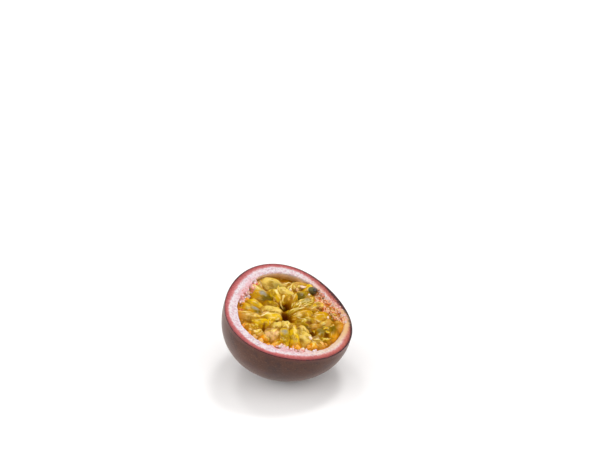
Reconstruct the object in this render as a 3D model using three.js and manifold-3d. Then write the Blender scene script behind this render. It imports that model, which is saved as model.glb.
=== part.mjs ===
// A passion fruit cut in half across its middle, resting with its cut face up and leaning a little.
// The shell is one solid, leathery skin and spongy pith together. The pulp in it is a heap of juice sacs
// with one bare seed on top.
// Millimetres, +Z up. The origin is the middle of the small flat spot that the fruit rests on.
// The pieces are made in the fruit's own frame, where the cut face is z = 0 and a bearing of 0 degrees is
// along +X and 90 degrees along +Y, and a group leans them.
import * as THREE from 'three';
import { mergeVertices } from 'three/addons/utils/BufferGeometryUtils.js';
import Module from 'manifold-3d';

const wasm = await Module();
wasm.setup();

// Driving dimensions of the fruit
const RIM_RADIUS = 26.7; // mean radius of the cut face
const POLE_DEPTH = 29; // from the cut face to the closed end
const EQUATOR_DEPTH = 3.8; // the fruit is widest this far under the cut
const OVAL = { share: 0.024, at: 127 }; // the section is a little oval, longest at this bearing
const LOBES = { share: 0.038, at: 101 }; // and has three soft corners, one of them at this bearing

// Shell
const WALL = { mean: 4.85, shift: 0.7, thickestAt: 146 }; // skin and pith together, thicker on one side
const THIN_SPOT = { depth: 1.2, at: 8, spread: 18 };
const SEED_BED = { height: 1.1, count: 3, at: 36, spread: 15 }; // ridges that the sacs grow from
const BOTTOM_WALL = 5;
const SKIN_EDGE = 0.5; // rounding where the skin meets the cut face

// How it rests
const LEAN_FRONT = 12.2; // degrees
const LEAN_RIGHT = 13.8;
const FLAT_DEPTH = 1; // how much the resting spot is flattened

// Pulp
const GAP = 0.3; // clearance between pulp and shell
const LOW_SIDE = -41; // the cut face leans down towards this bearing, and the pulp has slumped that way
const SLUMP = 0.02; // how fast its surface rises towards the low side
const PULP_LEVEL = -0.2; // the tops of the sacs, in the middle, from the cut face
const BED_LEVEL = -3.2; // the jelly between the sacs
const CLIMB = { height: 1.6, lowAt: 88, spread: 35 }; // it climbs the wall, except at one place
const BED_INSET = 0.15;
const HOLLOW = { radius: 3, depth: 5 }; // the open middle, where the sacs don't meet
const SAC_BULB = 0.16; // a sac is this much fatter towards its outer end
const SAC_FULLNESS = 0.8; // under 1 for ends blunter than an egg's
const SAC_FLATNESS = 0.85; // height over width
const SAC_DIP = 0.8; // its inner end lies this much lower, and its outer end higher
const SAC_UNEVEN = 0.4; // how much one sac lies higher or lower than the next

// The sacs that show. Each has the bearing and the distance from the middle of its outer end, then of its
// inner end, and its width.
const SACS = [
  [124, 21.5, 89, 14, 6.8],
  [140, 19, 127, 14.5, 4],
  [156, 17.5, 136, 9, 6.8],
  [127, 15, 120, 6.5, 5],
  [186, 19, 195, 9.5, 6.4],
  [198, 20, 216, 11, 5],
  [180, 9.5, 141, 2.5, 5],
  [206, 11, 207, 3, 5],
  [214, 16.5, 232, 7.5, 4],
  [218, 20, 222, 14.5, 3.6],
  [234, 20.5, 227, 14.5, 4.6],
  [250, 18, 247, 9.5, 6],
  [270, 17.5, 271, 6.5, 4.8],
  [284, 18, 299, 5, 3.8],
  [300, 17.5, 326, 7.5, 5.2],
  [313, 22, 317, 15, 6.2],
  [329, 18, 342, 14, 5],
  [1, 18, 346, 14, 3.6],
  [331, 22.5, 2, 21, 6.2],
  [11, 17.5, 355, 8, 5],
  [16, 10.5, 343, 2.5, 4.8],
  [32, 16, 24, 8.5, 3],
  [49, 16.5, 64, 5.5, 5],
  [66, 17, 91, 11, 4.4],
  [111, 13.5, 69, 11, 4.6],
  [71, 20, 94, 16, 3.8],
  [270, 8.5, 275, 4, 3.8],
  [243, 11, 244, 5, 4],
  [65, 20.5, 63, 15, 3.2],
  [11, 21, 7, 17.5, 4.2],
];

// Sacs under and between those, in rings
const LOWER_SACS = [
  { count: 13, reach: 21.2, length: 9.5, width: 4.6, level: -1.5, stray: 16, phase: 10 },
  { count: 7, reach: 13.5, length: 8.5, width: 4.4, level: -1.8, stray: 22, phase: 25 },
];

// The bare seed on the heap: where its middle is, the turn of its long axis from the line to the fruit's
// middle, and how steeply that axis stands
const SEED = { at: 59, reach: 18.6, level: -1, turn: 25, steep: 30, length: 5.4, width: 3.8, height: 2.9 };

// Mesh steps
const AROUND = 60;
const OUTER_RINGS = 15;
const INNER_RINGS = 7;
const BED_RINGS = 7;
const BED_SHARES = [1, 0.88, 0.6, 0.36, 0.16]; // rings on top of the jelly, as shares of its radius
const BED_SKIRT = 1.5; // its side rings end this far under its top
const ROOM_TOP = 3; // over the highest sac
const SAC_AROUND = 10;
const SAC_ALONG = 7;
const LOWER_SAC_AROUND = 8;
const SEED_AROUND = 10;
const SEED_ALONG = 7;

const TURN = 2 * Math.PI;
const rad = THREE.MathUtils.degToRad;
const toDegrees = THREE.MathUtils.radToDeg;
const bump = (degrees, at, spread) => {
  const off = ((degrees - at + 540) % 360) - 180;
  return Math.exp(-((off / spread) ** 2));
};

// A point in the plane of the cut, by its bearing in degrees and its distance from the middle.
const place = (bearing, r) => new THREE.Vector3(r * Math.cos(rad(bearing)), r * Math.sin(rad(bearing)), 0);

// A level in the pulp, which lies higher towards the low side.
const slumped = (level, p) => level + SLUMP * p.dot(place(LOW_SIDE, 1));

// A repeatable draw from -1 to 1 for item i, with a salt for each use.
function draw(i, salt) {
  const wave = Math.sin(i * 12.9898 + salt * 78.233) * 43758.5453;
  return 2 * (wave - Math.floor(wave)) - 1;
}

// ---- The fruit's form: half a spheroid, widest a little under the cut, with an oval and lobed section

const HALF_HEIGHT = POLE_DEPTH - EQUATOR_DEPTH;
const rise = (z, halfHeight) => Math.sqrt(Math.max(0, 1 - ((z + EQUATOR_DEPTH) / halfHeight) ** 2));

function section(angle) {
  const oval = OVAL.share * Math.cos(2 * (angle - rad(OVAL.at)));
  return 1 + oval + LOBES.share * Math.cos(3 * (angle - rad(LOBES.at)));
}

function outerRadius(angle, z) {
  const uneven = (section(angle) - 1) * (1 - (z / POLE_DEPTH) ** 2);
  return (RIM_RADIUS * (1 + uneven) * rise(z, HALF_HEIGHT)) / rise(0, HALF_HEIGHT);
}

function wall(angle) {
  const degrees = toDegrees(angle);
  let thickness = WALL.mean + WALL.shift * Math.cos(rad(degrees - WALL.thickestAt));
  thickness -= THIN_SPOT.depth * bump(degrees, THIN_SPOT.at, THIN_SPOT.spread);
  for (let i = 0; i < SEED_BED.count; i++)
    thickness += SEED_BED.height * bump(degrees, SEED_BED.at + (360 / SEED_BED.count) * i, SEED_BED.spread);
  return thickness;
}

const INNER_HALF_HEIGHT = HALF_HEIGHT - BOTTOM_WALL;

function cavityRadius(angle, z) {
  const level = Math.min(z, 0);
  const rimCavity = RIM_RADIUS * section(angle) - wall(angle);
  return (rimCavity * rise(level, INNER_HALF_HEIGHT)) / rise(0, INNER_HALF_HEIGHT);
}

// Heights from the closed end up to the cut, evenly spaced along a spheroid of that half height.
function heights(halfHeight, rings) {
  const step = Math.acos(-EQUATOR_DEPTH / halfHeight) / rings;
  return Array.from({ length: rings + 1 }, (_, i) => -EQUATOR_DEPTH - halfHeight * Math.cos(step * i));
}

// ---- Solids

// A closed surface round the Z axis. Each ring gives its radius and height at an angle.
function turned(rings) {
  const mean = rings.map((ring) => new THREE.Vector2(ring.radius(0), ring.height(0)));
  const geometry = new THREE.LatheGeometry(mean, AROUND);
  const position = geometry.getAttribute('position');
  for (let i = 0; i <= AROUND; i++) {
    const angle = (TURN * (i % AROUND)) / AROUND;
    rings.forEach((ring, j) => {
      const r = ring.radius(angle);
      position.setXYZ(i * rings.length + j, r * Math.cos(angle), r * Math.sin(angle), ring.height(angle));
    });
  }
  return geometry;
}

const ring = (radius, height) => ({
  radius: typeof radius === 'function' ? radius : () => radius,
  height: typeof height === 'function' ? height : () => height,
});

function solidOf(geometry) {
  const plain = geometry.clone().deleteAttribute('normal').deleteAttribute('uv');
  const merged = mergeVertices(plain, 1e-4);
  const corners = merged.index.array;
  const kept = [];
  for (let i = 0; i < corners.length; i += 3) {
    const [a, b, c] = corners.slice(i, i + 3);
    if (a !== b && b !== c && c !== a) kept.push(a, b, c);
  }
  const vertProperties = new Float32Array(merged.getAttribute('position').array);
  return new wasm.Manifold(new wasm.Mesh({ numProp: 3, vertProperties, triVerts: new Uint32Array(kept) }));
}

function geometryOf(solid) {
  const { vertProperties, triVerts } = solid.getMesh();
  const geometry = new THREE.BufferGeometry();
  geometry.setAttribute('position', new THREE.BufferAttribute(new Float32Array(vertProperties), 3));
  geometry.setIndex(new THREE.BufferAttribute(new Uint32Array(triVerts), 1));
  geometry.computeVertexNormals();
  return geometry;
}

// The main body of a solid, with loose scraps dropped and sealed hollows filled.
function mainBody(solid) {
  return solid.decompose().reduce((best, piece) => (piece.volume() > best.volume() ? piece : best));
}

function shellSolid() {
  const outer = heights(HALF_HEIGHT, OUTER_RINGS).slice(1, -1);
  const inner = heights(INNER_HALF_HEIGHT, INNER_RINGS).slice(1, -1).reverse();
  return solidOf(
    turned([
      ring(0, -POLE_DEPTH),
      ...outer.map((z) => ring((angle) => outerRadius(angle, z), z)),
      ring((angle) => outerRadius(angle, -SKIN_EDGE), -SKIN_EDGE),
      ring((angle) => outerRadius(angle, 0) - SKIN_EDGE, 0),
      ring((angle) => cavityRadius(angle, 0), 0),
      ...inner.map((z) => ring((angle) => cavityRadius(angle, z), z)),
      ring(0, -EQUATOR_DEPTH - INNER_HALF_HEIGHT),
    ]),
  );
}

// The jelly's surface, at a bearing, a distance from the middle and that distance as a share of the cavity.
function bedHeight(bearing, r, share) {
  const hollow = HOLLOW.depth * Math.exp(-((r / HOLLOW.radius) ** 2));
  const climb = CLIMB.height * share ** 6 * (1 - bump(bearing, CLIMB.lowAt, CLIMB.spread));
  return slumped(BED_LEVEL - hollow + climb, place(bearing, r));
}

// The jelly that the sacs lie in: it fills the shell and has a hollow in its middle.
function bedSolid() {
  const inset = GAP + BED_INSET;
  const side = heights(INNER_HALF_HEIGHT, BED_RINGS).filter((z, i) => i > 0 && z < BED_LEVEL - BED_SKIRT);
  const edge = (angle) => cavityRadius(angle, BED_LEVEL) - inset;
  const top = BED_SHARES.map((share) =>
    ring((angle) => share * edge(angle), (angle) => bedHeight(toDegrees(angle), share * edge(angle), share)),
  );
  return solidOf(
    turned([
      ring(0, inset - EQUATOR_DEPTH - INNER_HALF_HEIGHT),
      ...side.map((z) => ring((angle) => cavityRadius(angle, z) - inset, z)),
      ...top,
      ring(0, bedHeight(0, 0, 0)),
    ]),
  );
}

// The room that the pulp may take: the cavity, less the gap, and straight up above it.
function roomSolid() {
  const side = heights(INNER_HALF_HEIGHT, BED_RINGS).slice(1);
  return solidOf(
    turned([
      ring(0, GAP - EQUATOR_DEPTH - INNER_HALF_HEIGHT),
      ...side.map((z) => ring((angle) => cavityRadius(angle, z) - GAP, z)),
      ring((angle) => cavityRadius(angle, 0) - GAP, ROOM_TOP),
      ring(0, ROOM_TOP),
    ]),
  );
}

// One juice sac: a blunt egg with its fat end outwards, lying just under a level.
function sacSolid(outer, inner, width, level, around) {
  const middle = outer.clone().add(inner).multiplyScalar(0.5);
  const half = inner.clone().sub(outer).multiplyScalar(0.5);
  const across = new THREE.Vector3(-half.y, half.x, 0).normalize();
  const geometry = new THREE.SphereGeometry(1, around, SAC_ALONG);
  const position = geometry.getAttribute('position');
  for (let k = 0; k < position.count; k++) {
    const [high, forward, sideways] = [position.getX(k), position.getY(k), position.getZ(k)];
    const blunt = Math.max(Math.hypot(high, sideways), 1e-6) ** (SAC_FULLNESS - 1);
    const girth = (width / 2) * blunt * (1 - SAC_BULB * forward);
    const p = middle.clone().addScaledVector(half, forward).addScaledVector(across, sideways * girth);
    p.z = slumped(level, p) + SAC_FLATNESS * (high * girth - width / 2) - SAC_DIP * forward;
    position.setXYZ(k, p.x, p.y, p.z);
  }
  return solidOf(geometry);
}

function showingSacs() {
  return SACS.map(([outerAt, outer, innerAt, inner, width], i) => {
    const level = PULP_LEVEL + SAC_UNEVEN * draw(i, 1);
    return sacSolid(place(outerAt, outer), place(innerAt, inner), width, level, SAC_AROUND);
  });
}

function lowerSacs() {
  return LOWER_SACS.flatMap((rule, salt) =>
    Array.from({ length: rule.count }, (_, i) => {
      const bearing = rule.phase + (360 / rule.count) * (i + 0.3 * draw(i, 10 * salt + 2));
      const length = rule.length * (1 + 0.15 * draw(i, 10 * salt + 3));
      const outer = place(bearing, rule.reach);
      const inner = outer.clone().add(place(bearing + 180 + rule.stray * draw(i, 10 * salt + 4), length));
      const level = rule.level + SAC_UNEVEN * draw(i, 10 * salt + 5);
      return sacSolid(outer, inner, rule.width, level, LOWER_SAC_AROUND);
    }),
  );
}

// A flattened egg, made with its length along +X, then raised, turned inwards and put in place.
function seedSolid() {
  const geometry = new THREE.SphereGeometry(0.5, SEED_AROUND, SEED_ALONG).rotateZ(Math.PI / 2);
  geometry.scale(SEED.length, SEED.width, SEED.height).rotateY(-rad(SEED.steep));
  const middle = place(SEED.at, SEED.reach);
  return solidOf(geometry.rotateZ(rad(SEED.at + 180 + SEED.turn)).translate(middle.x, middle.y, SEED.level));
}

function pulpSolid() {
  const heap = wasm.Manifold.union([bedSolid(), ...showingSacs(), ...lowerSacs(), seedSolid()]);
  return mainBody(heap.intersect(roomSolid()));
}

// ---- The leaning frame, and the flat spot under the lowest point of the spheroid

const lean = new THREE.Group();
lean.rotation.set(rad(LEAN_FRONT), rad(LEAN_RIGHT), 0, 'YXZ');

function restingSpot() {
  const down = new THREE.Vector3(0, 0, -1).applyQuaternion(lean.quaternion.clone().invert());
  const girth = RIM_RADIUS / rise(0, HALF_HEIGHT);
  const squares = new THREE.Vector3(girth ** 2, girth ** 2, HALF_HEIGHT ** 2);
  const lowest = down.clone().multiply(squares);
  lowest.divideScalar(Math.sqrt(lowest.dot(down)));
  const reach = lowest.dot(down);
  return lowest.multiplyScalar(1 - FLAT_DEPTH / reach).add(new THREE.Vector3(0, 0, -EQUATOR_DEPTH));
}

lean.position.copy(restingSpot().applyQuaternion(lean.quaternion).negate());
lean.updateMatrix();

const underTable = new THREE.BoxGeometry(3 * RIM_RADIUS, 3 * RIM_RADIUS, RIM_RADIUS);
underTable.translate(0, 0, -RIM_RADIUS / 2).applyMatrix4(lean.matrix.clone().invert());

function addPart(name, solid, look) {
  const mesh = new THREE.Mesh(geometryOf(solid), new THREE.MeshStandardMaterial(look));
  mesh.name = name;
  lean.add(mesh);
}

addPart('shell', mainBody(shellSolid().subtract(solidOf(underTable))), {
  color: 0x5f4339,
  roughness: 0.55,
  metalness: 0,
});
addPart('pulp', pulpSolid(), { color: 0xd69a1e, roughness: 0.2, metalness: 0 });

const passionFruitHalf = new THREE.Group();
passionFruitHalf.add(lean);

export default passionFruitHalf;
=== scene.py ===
"""A passion fruit cut in half: leathery skin and moist pith round a heap of juice sacs and seeds.

The pieces are worked out in the fruit's own frame, in millimetres and degrees: the cut face is z = 0, and a
bearing of 0 is along +X and 90 along +Y. leaned() turns them as the fruit rests and gives metres.
"""

import bpy
import numpy as np
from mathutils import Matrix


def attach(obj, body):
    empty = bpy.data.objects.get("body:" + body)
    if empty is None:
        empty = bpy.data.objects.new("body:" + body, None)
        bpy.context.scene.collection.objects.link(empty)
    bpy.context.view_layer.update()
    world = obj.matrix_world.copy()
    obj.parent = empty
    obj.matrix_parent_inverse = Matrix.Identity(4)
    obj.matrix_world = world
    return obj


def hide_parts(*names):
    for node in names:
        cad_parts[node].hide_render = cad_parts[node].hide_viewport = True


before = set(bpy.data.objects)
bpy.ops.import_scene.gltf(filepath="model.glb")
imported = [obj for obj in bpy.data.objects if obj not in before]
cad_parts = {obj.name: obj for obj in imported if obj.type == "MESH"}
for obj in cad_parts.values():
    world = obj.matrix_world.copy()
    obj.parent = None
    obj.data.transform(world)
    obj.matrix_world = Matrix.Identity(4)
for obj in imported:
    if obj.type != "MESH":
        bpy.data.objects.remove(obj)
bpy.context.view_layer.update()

MM = 0.001

# The fruit's form: the driving sizes of its solids, and a small shelf of pith that they leave out
RIM_RADIUS = 26.7
POLE_DEPTH = 29.0
EQUATOR_DEPTH = 3.8
OVAL, OVAL_AT = 0.024, 127
LOBES, LOBE_AT = 0.038, 101
WALL, WALL_SHIFT, THICK_SIDE = 4.85, 0.7, 146
THIN_SPOT, THIN_AT, THIN_SPREAD = 1.2, 8, 18
SEED_BED, SEED_BEDS_AT, SEED_BED_SPREAD = 1.1, (36, 156, 276), 15
SHELF, SHELF_AT, SHELF_SPREAD = 0.8, 333, 20
BOTTOM_WALL = 5.0
SKIN_EDGE = 0.5
LEAN_FRONT, LEAN_RIGHT = 12.2, 13.8
FLAT_DEPTH = 1.0

# The pulp: its clearance from the shell, how it slumps, and the levels of its sacs and its jelly
GAP = 0.3
LOW_SIDE, SLUMP = -41, 0.02
PULP_LEVEL = -0.2
BED_LEVEL = -3.2
KNIFE_LEVEL, KNIFE_SOFTNESS = 0.5, 0.9

# The form of a sac: how much fatter its outer end is, how blunt its ends are, its height over its width, how
# much lower its inner end lies, and how much one sac lies higher or lower than the next
SAC_BULB = 0.16
SAC_FULLNESS = 0.7
SAC_FLATNESS = 0.85
SAC_DIP = 0.8
SAC_UNEVEN = 0.4

# The sacs that show: bearing and distance of the outer end, then of the inner end, the width and the juice.
# Where a seed shows: how dark it shows through, with painted shade on its shady side, how strong the painted
# grey glint on it is, and where it lies between the ends, from -1 to 1
SACS = (
    (124, 21.3, 84, 13, 8, "cream", 0.6, 0, -0.15),
    (143, 19.5, 137, 14.5, 4, "cream"),
    (151, 17.3, 132, 9, 7, "gold", 1, 1, 0.3),
    (120, 14, 113, 7.5, 4.6, "yellow", 0.2, 0, -0.2),
    (182, 19, 194, 9, 7.0, "gold", 1, 1, 0.45),
    (198, 20, 216, 11, 5, "tan"),
    (182, 9.5, 145, 2.5, 3.8, "cream"),
    (208, 11, 210, 3, 3.8, "yellow"),
    (214, 16.5, 232, 7.5, 4, "yellow"),
    (218, 20, 222, 14.5, 3.6, "amber"),
    (234, 20.5, 227, 14.5, 4.6, "tan"),
    (250, 18, 247, 9.5, 6, "blush", 0, 0.1, 0),
    (268, 17.5, 266, 6.5, 4.8, "yellow", 0.5, 0.85, 0.2),
    (284, 18, 299, 5, 3.8, "yellow"),
    (300, 17.5, 326, 7.5, 5.2, "cream"),
    (313, 22, 317, 15, 6.2, "tan", 0.2, 0, 0),
    (329, 18, 342, 14, 5, "gold", 0.8, 0.3, 0.1),
    (1, 18, 346, 14, 3.6, "tan"),
    (331, 21.2, 2, 19.6, 5.6, "gold", 0.9, 0.1, 0.2),
    (11, 17.5, 355, 8, 5, "gold"),
    (16, 10.5, 343, 2.5, 4.8, "gold"),
    (32, 16, 24, 8.5, 3, "tan"),
    (49, 16.5, 64, 5.5, 5, "olive", 0.4, 0.6, -0.1),
    (61, 15.6, 88, 9.6, 4.4, "olive", 0.9, 0, 0.1),
    (111, 13.5, 69, 11, 4.6, "cream"),
    (71, 20, 94, 16, 3.2, "tan"),
    (270, 8.5, 275, 4, 3.8, "cream"),
    (243, 11, 244, 5, 4, "cream"),
    (65, 20.5, 63, 15, 3.2, "yellow"),
    (11, 21, 7, 17.5, 4.2, "amber"),
)

# Smaller sacs tucked between those, given the same way, and how much lower they lie
TUCKED_SACS = (
    (92, 10.5, 113, 7, 4.2, "gold"),
    (160, 9.5, 130, 5.5, 3.8, "olive"),
    (53, 15.5, 62, 12, 2.6, "cream"),
    (31, 7.5, 113, 1, 1.9, "olive"),
    (353, 11, 312, 5.5, 3.4, "olive"),
    (343, 13.5, 328, 8.5, 3, "tan"),
    (326, 21.5, 329, 16.5, 4.4, "olive"),
    (349, 22.6, 8, 21.6, 3.4, "tan"),
    (42, 13, 32, 5, 3, "olive"),
    (75, 13, 80, 7, 3.4, "gold"),
    (171, 16, 175, 9.5, 3.6, "yellow"),
    (243, 20.6, 244, 15.5, 4.2, "orange"),
    (262, 20.2, 260, 14.5, 4, "orange"),
    (211, 19, 219, 13, 3, "orange"),
    (302, 21.4, 308, 16, 4.2, "orange"),
    (283, 20.8, 286, 16, 3.8, "orange"),
)
TUCKED_UNDER = 0.3
NO_SEED = (0, 0, 0)

# The open middle is two deep holes: the place, reach along X and along Y, turn and depth of each
HOLES = (
    (-0.6, 5.3, 1.8, 1.8, 0, 4.0),
    (0.1, -1.0, 1.35, 2.7, 40, 4.2),
)

# Narrow clefts between the sacs, given the same way
CLEFTS = (
    (11.2, -8.6, 1.6, 1.1, 60, 1.6),
    (9.0, -3.4, 1.5, 0.7, 10, 1.0),
    (-9.0, -10.6, 0.6, 2.0, 0, 0.9),
    (-15.2, -9.5, 1.3, 0.7, 0, 0.9),
    (-3.8, -5.3, 0.6, 0.6, 0, 1.2),
    (16.7, -9.0, 1.0, 1.5, 20, 1.5),
    (-19.1, 0.0, 0.6, 1.4, 20, 1.0),
    (-13.9, 13.2, 0.9, 0.8, 0, 1.4),
    (-16.2, 5.3, 1.0, 0.7, 0, 1.0),
    (5.3, -6.8, 0.5, 1.2, 0, 0.8),
    (13.4, 6.0, 2.0, 0.5, 15, 1.0),
    (9.0, 3.6, 2.2, 0.5, 12, 0.9),
)

# How steep the sides of the holes and the clefts are
BELL_STEEPNESS = 1.5

# Sacs under and between those, in rings
LOWER_SACS = (
    {"count": 13, "reach": 21.2, "length": 9.5, "width": 4.6, "level": -1.5, "stray": 16, "phase": 10},
    {"count": 7, "reach": 13.5, "length": 8.5, "width": 4.4, "level": -1.8, "stray": 22, "phase": 25},
)
LOWER_JUICES = ("orange", "gold", "orange", "olive")

# How uneven their places and lengths are, how dark and how far off the middle their seeds are, and how much
# lower the sacs lie at the back
RING_SPACING, RING_LENGTHS = 0.3, 0.15
RING_SEED_DARKNESS, RING_SEED_SHIFT = 0.8, 0.2
BACK_GAP = 1.5


def paint(red, green, blue):
    """A colour given as screen values from 0 to 255, as Blender's linear RGBA."""
    share = np.array([red, green, blue]) / 255
    linear = np.where(share <= 0.04045, share / 12.92, ((share + 0.055) / 1.055) ** 2.4)
    return (*linear.tolist(), 1.0)


JUICES = {
    "olive": paint(160, 124, 2),
    "gold": paint(194, 140, 2),
    "yellow": paint(212, 168, 6),
    "cream": paint(216, 184, 88),
    "tan": paint(190, 142, 58),
    "orange": paint(212, 128, 4),
    "amber": paint(160, 106, 2),
    "blush": paint(216, 168, 112),
    # Pale drops put where highlights fall: painted highlights
    "pale": paint(240, 210, 192),
    "peach": paint(228, 170, 96),
    "flame": paint(226, 142, 28),
    "ruby": paint(200, 84, 44),
}


# ---------------------------------------------------------------- the fruit's form


def bump(bearing, at, spread):
    """One at a bearing, and falling off each way over the spread as a bell curve."""
    off = (bearing - at + 180) % 360 - 180
    return np.exp(-((off / spread) ** 2))


def section(bearing):
    """The cut face's radius over its mean: one, plus two oval waves and three lobes round the fruit."""
    oval = OVAL * np.cos(np.radians(2 * (bearing - OVAL_AT)))
    return 1 + oval + LOBES * np.cos(np.radians(3 * (bearing - LOBE_AT)))


def rise(z, half_height):
    """A spheroid's width at a height, over that at its equator: the root of one less the height squared."""
    return np.sqrt(np.maximum(0, 1 - ((z + EQUATOR_DEPTH) / half_height) ** 2))


HALF_HEIGHT = POLE_DEPTH - EQUATOR_DEPTH
INNER_HALF_HEIGHT = HALF_HEIGHT - BOTTOM_WALL


def outer_radius(bearing, z):
    """The skin: a spheroid whose section is uneven at the cut and round at the closed end."""
    uneven = (section(bearing) - 1) * (1 - (z / POLE_DEPTH) ** 2)
    return RIM_RADIUS * (1 + uneven) * rise(z, HALF_HEIGHT) / rise(0, HALF_HEIGHT)


def wall(bearing):
    """Skin and pith together: thicker on one side, thin at one spot, with a ridge at each seed bed and a soft
    shelf of pith that the knife pushed inwards."""
    thickness = WALL + WALL_SHIFT * np.cos(np.radians(bearing - THICK_SIDE))
    thickness = thickness - THIN_SPOT * bump(bearing, THIN_AT, THIN_SPREAD)
    for at in SEED_BEDS_AT:
        thickness = thickness + SEED_BED * bump(bearing, at, SEED_BED_SPREAD)
    return thickness + SHELF * bump(bearing, SHELF_AT, SHELF_SPREAD)


def cavity_radius(bearing, z):
    """The inside of the shell: the rim less the wall, going down as a smaller spheroid."""
    rim_cavity = RIM_RADIUS * section(bearing) - wall(bearing)
    return rim_cavity * rise(np.minimum(z, 0), INNER_HALF_HEIGHT) / rise(0, INNER_HALF_HEIGHT)


def spheroid_heights(half_height, rows):
    """Heights from the closed end up to the cut, evenly spaced along a spheroid of that half height."""
    last = np.arccos(-EQUATOR_DEPTH / half_height)
    return -EQUATOR_DEPTH - half_height * np.cos(np.linspace(0, last, rows))


def lean_matrix():
    """A turn about X towards the viewer, then one about Y to the right."""
    front, right = np.radians(LEAN_FRONT), np.radians(LEAN_RIGHT)
    about_x = np.array([[1, 0, 0], [0, np.cos(front), -np.sin(front)], [0, np.sin(front), np.cos(front)]])
    about_y = np.array([[np.cos(right), 0, np.sin(right)], [0, 1, 0], [-np.sin(right), 0, np.cos(right)]])
    return about_y @ about_x


def resting_spot(lean):
    """The spheroid's lowest point as it leans, raised by the depth of the flat spot, in the fruit's frame."""
    down = lean.T @ np.array([0, 0, -1.0])
    girth = RIM_RADIUS / rise(0, HALF_HEIGHT)
    lowest = down * np.array([girth**2, girth**2, HALF_HEIGHT**2])
    lowest /= np.sqrt(lowest @ down)
    return lowest * (1 - FLAT_DEPTH / (lowest @ down)) + np.array([0, 0, -EQUATOR_DEPTH])


LEAN = lean_matrix()
RIM_CENTRE = -LEAN @ resting_spot(LEAN)


def leaned(points):
    """Points of the fruit's own frame in metres, as the fruit rests."""
    return (points @ LEAN.T + RIM_CENTRE) * MM


def slumped(level, x, y):
    """A level in the pulp, which lies higher towards the low side."""
    return level + SLUMP * (x * np.cos(np.radians(LOW_SIDE)) + y * np.sin(np.radians(LOW_SIDE)))


def place_at(bearing, reach):
    """X and Y from a bearing and a distance from the middle."""
    return reach * np.cos(np.radians(bearing)), reach * np.sin(np.radians(bearing))


def cylinder_points(bearing, radius, height):
    """Points from bearings, radii and heights."""
    return np.stack(np.broadcast_arrays(*place_at(bearing, radius), height), axis=-1)


def wall_share(bearing, reach):
    """How far a place in the pulp is on its way from the middle to the wall, from 0 to 1."""
    return np.minimum(reach / cavity_radius(bearing, BED_LEVEL), 1)


# ---------------------------------------------------------------- repeatable unevenness

# What spreads the numbers that draw() gives, and the steps between a lattice's corners
DRAW_ITEM, DRAW_SALT, DRAW_SPREAD = 12.9898, 78.233, 43758.5453
LATTICE = np.array([1.0, 57.0, 113.0])


def draw(item, salt):
    """A repeatable number from -1 to 1 for each item, with a salt for each use."""
    wave = np.sin(np.asarray(item) * DRAW_ITEM + salt * DRAW_SALT) * DRAW_SPREAD
    return 2 * (wave - np.floor(wave)) - 1


def noise(points, size, salt=0):
    """Soft bumps of a size, from -1 to 1: numbers at the corners of a lattice, blended by smoothsteps."""
    place = points / size
    cell = np.floor(place)
    share = place - cell
    share = share * share * (3 - 2 * share)
    total = 0
    for corner in np.ndindex(2, 2, 2):
        weight = np.prod(np.where(corner, share, 1 - share), axis=-1)
        total = total + weight * draw((cell + corner) @ LATTICE, salt)
    return total


def layered(points, *layers):
    """A sum of soft bumps, each layer given as its share, its size and its salt."""
    return sum(share * noise(points, size, salt) for share, size, salt in layers)


# ---------------------------------------------------------------- meshes


def all_round(count):
    """Evenly spaced bearings, one for each column."""
    return np.linspace(0, 360, count, endpoint=False)[None, :]


def quarter_turn(rows):
    """Angles of a quarter circle, one for each row but the first, where the rows before it end."""
    return np.radians(np.linspace(0, 90, rows))[1:, None]


def each(values):
    """One value for each surface, ready to meet its rows and columns."""
    return np.asarray(values)[:, None, None]


def pole_to_pole(rows):
    """Shares from -1 to 1 along a surface, one for each row, closer together towards its poles."""
    return -np.cos(np.linspace(0, np.pi, rows))[None, :, None]


def once_round(columns, first=0.0):
    """Angles round a surface, one for each column."""
    return np.linspace(first, first + 2 * np.pi, columns, endpoint=False)[None, None, :]


def closed_mesh(name, points, fields):
    """A mesh of closed surfaces. points is surfaces by rows by columns: the columns go round, and the first
    and the last row are poles, where all columns meet. fields are values on the same grid."""
    surfaces, rows, columns, _ = points.shape

    def flat(grid):
        """One value or point for each vertex: the first pole, the rows between, and the last pole."""
        between = grid[:, 1:-1].reshape(surfaces, (rows - 2) * columns, -1)
        return np.concatenate([grid[:, :1, 0].reshape(surfaces, 1, -1), between,
                               grid[:, -1:, 0].reshape(surfaces, 1, -1)], axis=1)

    corner = 1 + np.arange((rows - 2) * columns).reshape(rows - 2, columns)
    after = np.roll(corner, -1, axis=1)
    quads = np.stack([corner[:-1], after[:-1], after[1:], corner[1:]], axis=-1).reshape(-1, 4)
    last = 1 + (rows - 2) * columns
    low_cap = np.stack([np.zeros(columns, int), after[0], corner[0]], axis=-1)
    high_cap = np.stack([np.full(columns, last), corner[-1], after[-1]], axis=-1)
    faces = []
    for surface in range(surfaces):
        offset = surface * (last + 1)
        faces += (low_cap + offset).tolist() + (quads + offset).tolist() + (high_cap + offset).tolist()
    mesh = bpy.data.meshes.new(name)
    mesh.from_pydata(leaned(flat(points).reshape(-1, 3)), [], faces)
    for field, grid in fields.items():
        values = flat(np.broadcast_to(grid, points.shape[:3] + np.shape(grid)[3:]))
        kind, key = ("FLOAT_COLOR", "color") if values.shape[-1] == 4 else ("FLOAT", "value")
        mesh.attributes.new(field, kind, "POINT").data.foreach_set(key, values.astype(np.float32).ravel())
    mesh.shade_smooth()
    piece = bpy.data.objects.new(name, mesh)
    bpy.context.scene.collection.objects.link(piece)
    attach(piece, "root")
    return piece


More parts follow.
